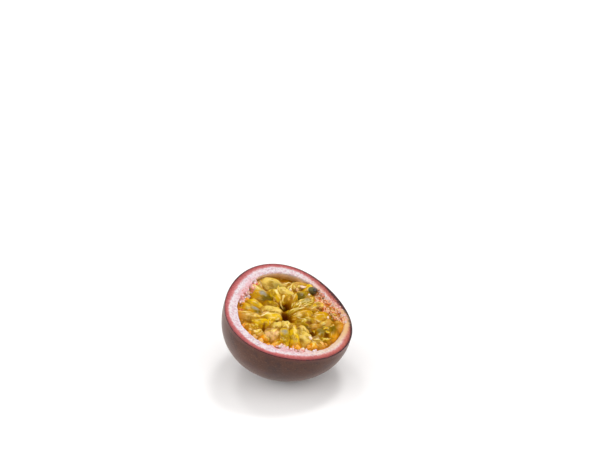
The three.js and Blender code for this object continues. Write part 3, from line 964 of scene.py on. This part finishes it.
def pulp_shreds():
    """Scraps of sac and beads of juice lying on the heap, mostly pointing to the middle, the pale ones
    painted
    highlights: small drops that slope from the heap's height at one end to its height at the other."""
    index = np.arange(SHREDS)
    at, out, turn, long, wide = (np.array(column, float) for column in list(zip(*SCRAPS))[:5])
    bearing = np.concatenate([360 * (index * GOLDEN_SHARE % 1), at])
    reach = np.concatenate([SHREDS_FROM + SHREDS_REACH * np.sqrt(0.5 + 0.5 * draw(index, 91)), out])
    length = np.concatenate([SHRED_LENGTH * (1 + SHRED_LENGTHS * draw(index, 92)), long])
    width = np.concatenate([SHRED_WIDTH * (1 + SHRED_WIDTHS * draw(index, 93)), wide])
    heading = np.radians(bearing + 180 + np.concatenate([SHRED_STRAY * draw(index, 94), turn]))
    depth = [SHRED_DEPTH] * SHREDS
    depth += [SUNKEN_DEPTH if row[5] in SUNKEN_JUICES else SCRAP_DEPTH for row in SCRAPS]
    x, y = place_at(bearing, reach)
    top = heap_top(x, y, bearing)
    ahead_top = heap_top(x + np.cos(heading) * length, y + np.sin(heading) * length, bearing)
    slope = np.clip((ahead_top - top) / length, -SHRED_STEEPEST, SHRED_STEEPEST)
    points = droplets(np.stack([x, y, top - depth], axis=-1), heading, length, width, slope, 95)
    names = [SHRED_JUICES[(i * 5 + i // 7) % len(SHRED_JUICES)] for i in index] + [row[5] for row in SCRAPS]
    juice = np.array([JUICES[name] for name in names])
    kept = from_seeds(x, y) > SEED_CLEARANCE
    kept[SHREDS:] = True
    points, juice = points[kept], juice[kept]
    fields = {"juice": np.broadcast_to(juice[:, None, None, :], points.shape[:3] + (4,))}
    piece = closed_mesh("pulp_shreds", points, fields)
    piece.data.materials.append(shred_finish())


def bare_seeds():
    """Flattened ovals with a pointed end: an ellipse turned round its long axis, thinner at the tip."""
    at, reach, level, turn, steep = (each(column) for column in zip(*BARE_SEEDS))
    forward, angle = pole_to_pole(SEED_ROWS), once_round(SEED_COLUMNS)
    girth = np.sqrt(np.maximum(1 - forward**2, 0)) * (1 - SEED_TAPER * forward) * SEED_WIDTH / 2
    side, high = np.cos(angle) * girth, np.sin(angle) * girth * SEED_FLATNESS
    along = forward * SEED_LENGTH / 2
    tilt, heading = np.radians(steep), np.radians(at + 180 + turn)
    run = along * np.cos(tilt) - high * np.sin(tilt)
    up = along * np.sin(tilt) + high * np.cos(tilt)
    x, y = place_at(at, reach)
    x = x + run * np.cos(heading) - side * np.sin(heading)
    y = y + run * np.sin(heading) + side * np.cos(heading)
    piece = closed_mesh("seeds", np.stack([x, y, level + up], axis=-1), {})
    piece.data.materials.append(seed_finish())


def stalk_tuft(salt, at, spread, count, depth, out, length, thickness, stray, pink):
    """One tuft: starts, headings, lengths, widths, and how far in the orange has got. They crowd near the
    wall, in an oval round the tuft's bearing, and most of them point inwards."""
    index = np.arange(count)
    bearing = at + spread * (2 * (index * GOLDEN_SHARE % 1) - 1)
    in_tuft = np.sqrt(1 - ((bearing - at) / spread) ** 2)
    from_wall = ((depth + out) * (0.5 + 0.5 * draw(index, 40 + salt)) - out) * in_tuft
    reach = cavity_radius(bearing, STALK_WALL_LEVEL) - from_wall
    x, y = place_at(bearing, reach)
    height = jelly_height(x, y, wall_share(bearing, reach), bearing)
    height = height + STALK_LIFT + WALL_LIFT * np.clip(1 - from_wall, 0, 1)
    on_pith = np.clip(-from_wall, 0, PITH_REACH) / PITH_REACH
    height = np.minimum(height, STALK_TOP) * (1 - on_pith) + PITH_TOP * on_pith
    heading = np.radians(bearing + 180 + stray * draw(index, 60 + salt))
    lengths = length * (1 + STALK_LENGTHS * draw(index, 50 + salt))
    widths = thickness * (1 + STALK_WIDTHS * draw(index, 80 + salt))
    return np.stack([x, y, height], axis=-1), heading, lengths, widths, from_wall - pink


def seed_stalks():
    """Stubby cords over jelly, the tufts together: each cord is a small drop that dips towards its end."""
    tufts = [stalk_tuft(salt, *row) for salt, row in enumerate(STALK_TUFTS)]
    start, heading, length, width, reach = (np.concatenate(lists) for lists in zip(*tufts))
    points = droplets(start, heading, length, width, np.full(len(length), STALK_DIP), 97, rows=7, columns=8)
    fields = {"from_wall": np.broadcast_to(each(reach), points.shape[:3])}
    piece = closed_mesh("seed_stalks", points, fields)
    piece.data.materials.append(stalk_finish())


# ---------------------------------------------------------------- shader building

# A colour Mix node's inputs and output by number, because its other kinds have sockets of the same names
MIX_SHARE, MIX_FIRST, MIX_SECOND, MIX_RESULT = 0, 6, 7, 2

# How much detail fine noise has, and where a pit's edge starts and ends
FINE = 4.0
PIT_EDGE = (0.05, 0.35)


def add(tree, kind, inputs=None, **settings):
    """A shader node with its settings. Each input is a plain value or another node's output."""
    made = tree.nodes.new("ShaderNode" + kind)
    for name, value in settings.items():
        setattr(made, name, value)
    return fill(tree, made, inputs or {})


def fill(tree, made, inputs):
    """A node whose inputs are set to plain values or linked to other nodes' outputs."""
    for socket, value in inputs.items():
        if isinstance(value, bpy.types.NodeSocket):
            tree.links.new(value, made.inputs[socket])
        else:
            made.inputs[socket].default_value = value
    return made


def blend(tree, share, first, second):
    """The first colour, giving way to the second by a share."""
    inputs = {MIX_SHARE: share, MIX_FIRST: first, MIX_SECOND: second}
    return add(tree, "Mix", inputs, data_type="RGBA").outputs[MIX_RESULT]


def soft_step(tree, value, low, high, least=0.0, most=1.0):
    """The least under low, the most over high, and smooth between."""
    inputs = {"Value": value, "From Min": low, "From Max": high, "To Min": least, "To Max": most}
    return add(tree, "MapRange", inputs, interpolation_type="SMOOTHSTEP").outputs[0]


def times(tree, first, second):
    """The product of two numbers."""
    return add(tree, "Math", {0: first, 1: second}, operation="MULTIPLY").outputs[0]


def plus(tree, first, second):
    """The sum of two numbers."""
    return add(tree, "Math", {0: first, 1: second}, operation="ADD").outputs[0]


def value_of(tree, field):
    """A field that closed_mesh() put on the mesh."""
    return add(tree, "Attribute", attribute_name=field).outputs["Fac"]


def colour_of(tree, field):
    """The same for a field of colours."""
    return add(tree, "Attribute", attribute_name=field).outputs["Color"]


def per_metre(size):
    """A texture's scale for features of a size in millimetres."""
    return 1 / (size * MM)


def noise_of(tree, place, scale, detail=3.0):
    """A noise pattern's number from 0 to 1, for a texture's scale and how much fine detail it has."""
    return add(tree, "TexNoise", {"Vector": place, "Scale": scale, "Detail": detail}).outputs["Fac"]


def effect_group(name, numbers, output, build):
    """A shader node group that takes a place and named numbers and gives one number, filled by build."""
    group = bpy.data.node_groups.new(name, "ShaderNodeTree")
    group.interface.new_socket("Place", in_out="INPUT", socket_type="NodeSocketVector")
    for label in numbers:
        group.interface.new_socket(label, in_out="INPUT", socket_type="NodeSocketFloat")
    group.interface.new_socket(output, in_out="OUTPUT", socket_type="NodeSocketFloat")
    entry = group.nodes.new("NodeGroupInput")
    result = group.nodes.new("NodeGroupOutput")
    group.links.new(build(group, entry.outputs), result.inputs[0])
    return group


def speckle_group():
    """Soft-edged patches: noise of a scale, cut between a low and a high threshold."""
    def build(tree, given):
        """The nodes from the group's inputs to its output."""
        return soft_step(tree, noise_of(tree, given["Place"], given["Scale"]), given["Low"], given["High"])

    return effect_group("speckles", ("Scale", "Low", "High"), "Share", build)


def pore_group():
    """A pitted relief: round pits at the cells of a Voronoi pattern, over fine grain."""
    def build(tree, given):
        """The nodes from the group's inputs to its output."""
        cells = add(tree, "TexVoronoi", {"Vector": given["Place"], "Scale": given["Scale"]})
        pit = soft_step(tree, cells.outputs["Distance"], *PIT_EDGE)
        grain = noise_of(tree, given["Place"], given["Grain scale"], FINE)
        return plus(tree, pit, times(tree, grain, given["Grain"]))

    return effect_group("pores", ("Scale", "Grain scale", "Grain"), "Height", build)


SPECKLES = speckle_group()
PORES = pore_group()


def place_group(tree, group, inputs):
    """The output of a node group placed in a material with its own values."""
    made = tree.nodes.new("ShaderNodeGroup")
    made.node_tree = group
    return fill(tree, made, inputs).outputs[0]


def speckles(tree, place, size, low=0.45, high=0.55):
    """Patches of a size in millimetres."""
    return place_group(tree, SPECKLES, {"Place": place, "Scale": per_metre(size), "Low": low, "High": high})


def pores(tree, place, size, grain_size, depth):
    """Pits and grain of sizes in millimetres, with the grain's depth over the pits'."""
    inputs = {"Place": place, "Scale": per_metre(size), "Grain scale": per_metre(grain_size), "Grain": depth}
    return place_group(tree, PORES, inputs)


def tint(tree, colour, mask, share, shade):
    """The colour, giving way to a shade where the mask says, up to a share."""
    return blend(tree, mask if share == 1 else times(tree, mask, share), colour, paint(*shade))


def speckled(tree, place, colour, *rows):
    """The colour under speckles, given as rows: size, thresholds of the edges, share and shade."""
    for size, low, high, share, shade in rows:
        colour = tint(tree, colour, speckles(tree, place, size, low, high), share, shade)
    return colour


def cloudy(tree, place, size, first, second, low=0.45, high=0.55):
    """Two shades in patches of a size in millimetres."""
    return blend(tree, speckles(tree, place, size, low, high), paint(*first), paint(*second))


def stepped(tree, colour, *rows):
    """The colour under others that set in softly: rows of a value, where it starts and is full, the share and
    the shade. A sixth entry is a mask."""
    for value, low, high, share, shade, *mask in rows:
        step = soft_step(tree, value, low, high)
        for limit in mask:
            step = times(tree, limit, step)
        colour = tint(tree, colour, step, share, shade)
    return colour


def relief(tree, height, depth):
    """A bump normal from a height, with the depth in millimetres."""
    return add(tree, "Bump", {"Height": height, "Distance": depth * MM, "Strength": 1.0}).outputs["Normal"]


def new_material(name):
    """An empty material, its node tree and the object coordinates."""
    made = bpy.data.materials.new(name)
    made.use_nodes = True
    tree = made.node_tree
    tree.nodes.clear()
    return made, tree, add(tree, "TexCoord").outputs["Object"]


def lit_inside(weight, reach, scale):
    """Light under the surface: how much, how far each colour goes, and the scale in millimetres."""
    return {"Subsurface_Weight": weight, "Subsurface_Radius": reach, "Subsurface_Scale": scale * MM}


def finish_with(tree, colour, roughness, normal=None, **constants):
    """The surface shader: a colour and a roughness, a normal, and plain values for the rest."""
    inputs = {"Base Color": colour, "Roughness": roughness}
    if normal is not None:
        inputs["Normal"] = normal
    inputs.update({name.replace("_", " "): value for name, value in constants.items()})
    surface = add(tree, "BsdfPrincipled", inputs)
    output = add(tree, "OutputMaterial")
    tree.links.new(surface.outputs[0], output.inputs[0])


# ---------------------------------------------------------------- finishes

WET = {"Specular_IOR_Level": 0.0, "Coat_Weight": 0.24, "Coat_Roughness": 0.07, "Coat_IOR": 1.4}

# The skin's sheen is a little pink
SKIN_GLOSS = {"Specular_IOR_Level": 0.2, "Coat_Weight": 0.2, "Coat_Roughness": 0.3, "Sheen_Weight": 0.2,
              "Sheen_Roughness": 0.35, "Sheen_Tint": (1.0, 0.82, 0.74, 1.0)}

# The cut's colours end on wandering lines: the size of the noise and how far they wander. The skin's line is
# wider on the dark side
CUT_WANDER_SIZE, CUT_WANDER = 1.1, 1.3
DARK_SIDE_SKIN = -0.55

# The pulp's streaks: how stretched they are along a sac, their scale and how ragged they make edges. Then
# where they are pale, on top of a sac: partly pale membrane and partly a painted highlight
STREAK_STRETCH, STREAK_SCALE, STREAK_RAGGEDNESS = 0.3, 0.8, 1.2
PALE_STREAK, PALE_TOP = (0.48, 0.68), (0.5, 0.95)

# What colours the pulp after its streaks, one over another: the field, how ragged its edge is, where the
# colour starts and where it is full, its share and its shade
PULP_TINTS = (
    # Cream folds of membrane, and a paler crest on them as a painted highlight
    ("fold", 0.5, 0.2, 0.8, 0.7, (228, 192, 74)),
    ("fold", 0.5, 0.6, 1.1, 0.85, (242, 226, 172)),
    # Painted shade: darker and browner deep in the pulp
    ("depth", 0, 1.6, 3.4, 1, (146, 90, 2)),
    # The seed seen through its sac, dark and moved towards the shady side as painted shade
    ("seed_dark_and_painted_shade", 0.3, 0.15, 0.8, 0.9, (92, 74, 0)),
    # A painted grey glint where the seed lies under the membrane, lightest towards the light
    ("seed_painted_glint", 0.3, 0.1, 0.45, 0.5, (170, 154, 100)),
    ("seed_painted_glint", 0.3, 0.25, 0.95, 0.9, (136, 132, 126)),
    ("seed_painted_glint", 0.3, 0.8, 1.1, 0.7, (176, 168, 150)),
    # Painted shade in the clefts
    ("cleft", 0.5, 0.15, 0.7, 0.85, (136, 80, 6)),
    ("out", 0.15, 0.82, 1.0, 0.6, (214, 130, 14)),
    # Painted shade in the seams between the sacs
    ("seam", 0.6, 0.2, 0.5, 0.6, (160, 100, 0)),
    # Painted shade in the holes
    ("hole", 0, 0.7, 2.6, 1, (116, 54, 8)),
)
DRY_HOLE = (1.6, 0.4)


def skin_finish():
    """Leathery purple-brown skin: broad cloudy patches, faint dark and pale speckles, and pores."""
    made, tree, place = new_material("leathery_skin")
    colour = cloudy(tree, place, 14, (56, 26, 14), (74, 40, 24), low=0.35, high=0.65)
    colour = speckled(tree, place, colour,
                      (2.2, 0.48, 0.66, 0.7, (52, 26, 22)),
                      (0.6, 0.56, 0.7, 0.35, (116, 84, 64)))
    colour = stepped(tree, colour, (value_of(tree, "from_skin"), -2.0, 0.0, 0.7, (96, 44, 38)))
    height = pores(tree, place, 1.3, 0.35, 0.5)
    finish_with(tree, colour, 0.45, relief(tree, height, 0.05), **SKIN_GLOSS)
    return made


def flesh_finish():
    """The cut: dark skin, red flesh fading to pink and to white pith, with pink and juice-stained places near
    the hollow and a brown, wet wall inside it, which goes tan and then brown further down: partly juice stain
    and partly painted shade."""
    made, tree, place = new_material("cut_flesh")
    wander = plus(tree, noise_of(tree, place, per_metre(CUT_WANDER_SIZE), FINE), -0.5)
    wander = times(tree, wander, CUT_WANDER)
    stained, dark = value_of(tree, "juice_stain"), value_of(tree, "dark_side")
    line = plus(tree, value_of(tree, "from_skin"), times(tree, dark, DARK_SIDE_SKIN))
    skin = plus(tree, value_of(tree, "from_skin"), wander)
    hollow = plus(tree, value_of(tree, "from_hollow"), wander)
    red = blend(tree, dark, paint(152, 66, 66), paint(122, 46, 46))
    red = tint(tree, red, stained, 0.4, (150, 78, 44))
    bright = blend(tree, dark, paint(180, 88, 88), paint(158, 72, 66))
    bright = tint(tree, bright, stained, 0.5, (184, 108, 72))
    colour = blend(tree, soft_step(tree, line, 0.0, 0.4), paint(36, 8, 12), red)
    colour = blend(tree, soft_step(tree, skin, 0.5, 1.0), colour, bright)
    colour = speckled(tree, place, colour, (0.8, 0.5, 0.62, 0.4, (142, 44, 54)))
    blush = speckles(tree, place, 1.4, 0.45, 0.62)
    pits = speckles(tree, place, 0.7, 0.5, 0.62)
    colour = stepped(tree, colour,
                     (skin, 1.1, 1.8, 1, (196, 128, 128)),
                     (skin, 1.6, 2.2, 1, (214, 204, 207)),
                     (skin, 1.8, 2.6, 0.65, (204, 162, 172), blush),
                     (skin, 1.0, 2.2, 0.6, (178, 146, 154), pits),
                     (hollow, -2.8, -0.2, 0.8, (214, 144, 148), value_of(tree, "seed_bed")),
                     (hollow, -3.0, -1.0, 1, (212, 172, 116), stained),
                     # Down the hollow's wall: tan, then brown further down, partly juice stain and partly
                     # painted shade
                     (hollow, 0.4, 1.6, 1, (240, 208, 164)),
                     (hollow, 1.4, 3.6, 1, (222, 164, 74)))
    height = pores(tree, place, 1.0, 0.3, 0.8)
    finish_with(tree, colour, 0.45, relief(tree, height, 0.1), Specular_IOR_Level=0.3,
                **lit_inside(0.3, (1.0, 0.5, 0.35), 0.6))
    return made


def pulp_finish():
    """Juice in a thin, wet membrane: mottled, with pale streaks along the top that are partly membrane and
    partly painted highlight, cream folds with painted highlight on their crests, painted shade as olive brown
    low down, deep in the pulp and in the clefts and seams, oranger near the wall, painted shade dark in the
    holes, and a seed as a dark shape with painted shade on one side and a painted grey glint. Sacs have no
    seams and no holes, so those two fields are nought on them."""
    made, tree, place = new_material("juicy_pulp")
    lines = {"X": times(tree, value_of(tree, "along"), STREAK_STRETCH), "Y": value_of(tree, "around")}
    streaks = noise_of(tree, add(tree, "CombineXYZ", lines).outputs[0], STREAK_SCALE, FINE)
    ragged = times(tree, plus(tree, streaks, -0.5), STREAK_RAGGEDNESS)
    high = value_of(tree, "high")
    colour = speckled(tree, place, colour_of(tree, "juice"),
                      (2.6, 0.42, 0.62, 0.8, (140, 98, 2)),
                      (1.3, 0.55, 0.68, 0.4, (226, 188, 34)))
    # Painted shade: olive brown low on the sides of the sacs
    colour = stepped(tree, colour, (plus(tree, high, ragged), 0.6, 0.0, 0.45, (176, 120, 0)))
    # Pale streaks on the tops of the sacs: partly membrane, partly a painted highlight
    pale = times(tree, soft_step(tree, streaks, *PALE_STREAK), soft_step(tree, high, *PALE_TOP))
    colour = tint(tree, colour, pale, 0.7, (232, 210, 134))
    for field, edge, low, full, share, shade in PULP_TINTS:
        value = value_of(tree, field)
        if edge:
            value = plus(tree, value, times(tree, ragged, edge))
        colour = stepped(tree, colour, (value, low, full, share, shade))
    wetness = times(tree, soft_step(tree, value_of(tree, "hole"), *DRY_HOLE), WET["Coat_Weight"])
    finish_with(tree, colour, 0.3, relief(tree, streaks, 0.35), **lit_inside(0.25, (1.0, 0.55, 0.12), 1.5),
                **dict(WET, Coat_Weight=wetness))
    return made


def shred_finish():
    """Scraps of membrane and beads of juice, paler than the sacs."""
    made, tree, place = new_material("pulp_shred")
    colour = speckled(tree, place, colour_of(tree, "juice"), (0.9, 0.45, 0.55, 0.3, (236, 208, 128)))
    height = noise_of(tree, place, per_metre(0.5))
    finish_with(tree, colour, 0.3, relief(tree, height, 0.15),
                **lit_inside(0.3, (1.0, 0.55, 0.15), 1.0), **WET)
    return made


def seed_finish():
    """A hard black seed, pitted and wet, with rags of its sac still on it."""
    made, tree, place = new_material("black_seed")
    colour = cloudy(tree, place, 0.9, (14, 12, 10), (36, 31, 20))
    colour = speckled(tree, place, colour, (3.2, 0.5, 0.6, 0.8, (104, 100, 56)))
    height = pores(tree, place, 0.7, 0.3, 0.3)
    finish_with(tree, colour, 0.25, relief(tree, height, 0.05),
                **dict(WET, Specular_IOR_Level=0.1, Coat_Weight=0.5, Coat_Roughness=0.05))
    return made


def stalk_finish():
    """Pale pink cords near the pith, stained orange further in."""
    made, tree, place = new_material("seed_stalk")
    pink = cloudy(tree, place, 1.6, (222, 196, 196), (214, 146, 140))
    orange = cloudy(tree, place, 1.0, (238, 184, 144), (210, 116, 50), low=0.46, high=0.54)
    inner = plus(tree, value_of(tree, "from_wall"), speckles(tree, place, 1.3))
    colour = blend(tree, soft_step(tree, inner, 0.2, 2.6), pink, orange)
    height = noise_of(tree, place, per_metre(0.6))
    finish_with(tree, colour, 0.3, relief(tree, height, 0.15),
                **lit_inside(0.4, (1.0, 0.5, 0.35), 1.0), **WET)
    return made


# ---------------------------------------------------------------- floor, light and camera

FLOOR_SIZE = 6.0
CAMERA_PITCH = 28
CAMERA_FROM_RIM = np.array([4.93, -414.5, 260.2])
LENS = 72

# The room's light: the way up and towards the viewer that the overhead light comes from, where it starts and
# is full, and how bright it is away from it and in it
OVERHEAD_UP, OVERHEAD_BACK = 0.93, -0.37
OVERHEAD_FROM, OVERHEAD_FULL, DIM, BRIGHT = 0.3, 0.95, 0.12, 1.06

# The low light at the sides: how bright it is, and how much it changes to the right. The light behind: how
# bright it is, where it starts and is full on the way back, and where it starts and is full on the way down
SIDE_LIGHT, TO_THE_RIGHT = 6.0, -1.0
BACK_LIGHT, BACK_FROM, BACK_FULL, BACK_TOP, BACK_LOW = 0.75, 0.5, 0.9, 0.3, 0.05

# Soft window lights: name, bearing, elevation, how wide they look and strength
WINDOWS = (
    ("window", 60, 66, 14, 0.8),
    ("second_window", 118, 60, 12, 0.35),
)


def floor():
    """A plain white tabletop."""
    half = FLOOR_SIZE / 2
    mesh = bpy.data.meshes.new("floor")
    corners = [(-half, -half, 0), (half, -half, 0), (half, half, 0), (-half, half, 0)]
    mesh.from_pydata(corners, [], [(0, 1, 2, 3)])
    piece = bpy.data.objects.new("floor", mesh)
    bpy.context.scene.collection.objects.link(piece)
    made, tree, place = new_material("white_tabletop")
    finish_with(tree, cloudy(tree, place, 60, (248, 246, 245), (245, 243, 242)), 0.6)
    mesh.materials.append(made)


def soft_sun(name, bearing, elevation, spread, strength):
    """A far light as wide as a softbox seen from the fruit, at a bearing and an elevation in degrees."""
    light = bpy.data.lights.new(name, "SUN")
    light.angle = np.radians(spread)
    light.energy = strength
    lamp = bpy.data.objects.new(name, light)
    lamp.rotation_euler = (0, np.radians(90 - elevation), np.radians(bearing))
    bpy.context.scene.collection.objects.link(lamp)


def studio():
    """A room that is bright overhead, towards the viewer, and low at both sides and behind, and two soft
    window lights from behind."""
    world = bpy.data.worlds.new("surroundings")
    world.use_nodes = True
    tree = world.node_tree
    background = tree.nodes["Background"]
    way = add(tree, "SeparateXYZ", {0: add(tree, "TexCoord").outputs["Generated"]})
    right, back, up = way.outputs
    forwards = plus(tree, times(tree, up, OVERHEAD_UP), times(tree, back, OVERHEAD_BACK))
    overhead = soft_step(tree, forwards, OVERHEAD_FROM, OVERHEAD_FULL, DIM, BRIGHT)
    squared = times(tree, right, right)
    low = plus(tree, times(tree, up, -1.0), 1.0)
    sides = times(tree, times(tree, squared, squared), low)
    sides = times(tree, sides, plus(tree, times(tree, right, TO_THE_RIGHT), SIDE_LIGHT))
    behind = times(tree, soft_step(tree, back, BACK_FROM, BACK_FULL), soft_step(tree, up, BACK_TOP, BACK_LOW))
    around = plus(tree, sides, times(tree, behind, BACK_LIGHT))
    tree.links.new(plus(tree, overhead, around), background.inputs["Strength"])
    background.inputs["Color"].default_value = (1, 1, 1, 1)
    bpy.context.scene.world = world
    for window in WINDOWS:
        soft_sun(*window)
    bpy.context.scene.view_settings.view_transform = "Standard"


def camera():
    """The viewer's place: measured from the middle of the cut face, and looking down along +Y."""
    lens = bpy.data.cameras.new("camera")
    lens.lens = LENS
    eye = bpy.data.objects.new("camera", lens)
    eye.location = (RIM_CENTRE + CAMERA_FROM_RIM) * MM
    eye.rotation_euler = (np.radians(90 - CAMERA_PITCH), 0, 0)
    bpy.context.scene.collection.objects.link(eye)
    bpy.context.scene.camera = eye


JUICY_PULP = pulp_finish()
camera()
studio()
floor()
rind()
jelly_bed()
juice_sacs()
bare_seeds()
seed_stalks()
pulp_shreds()
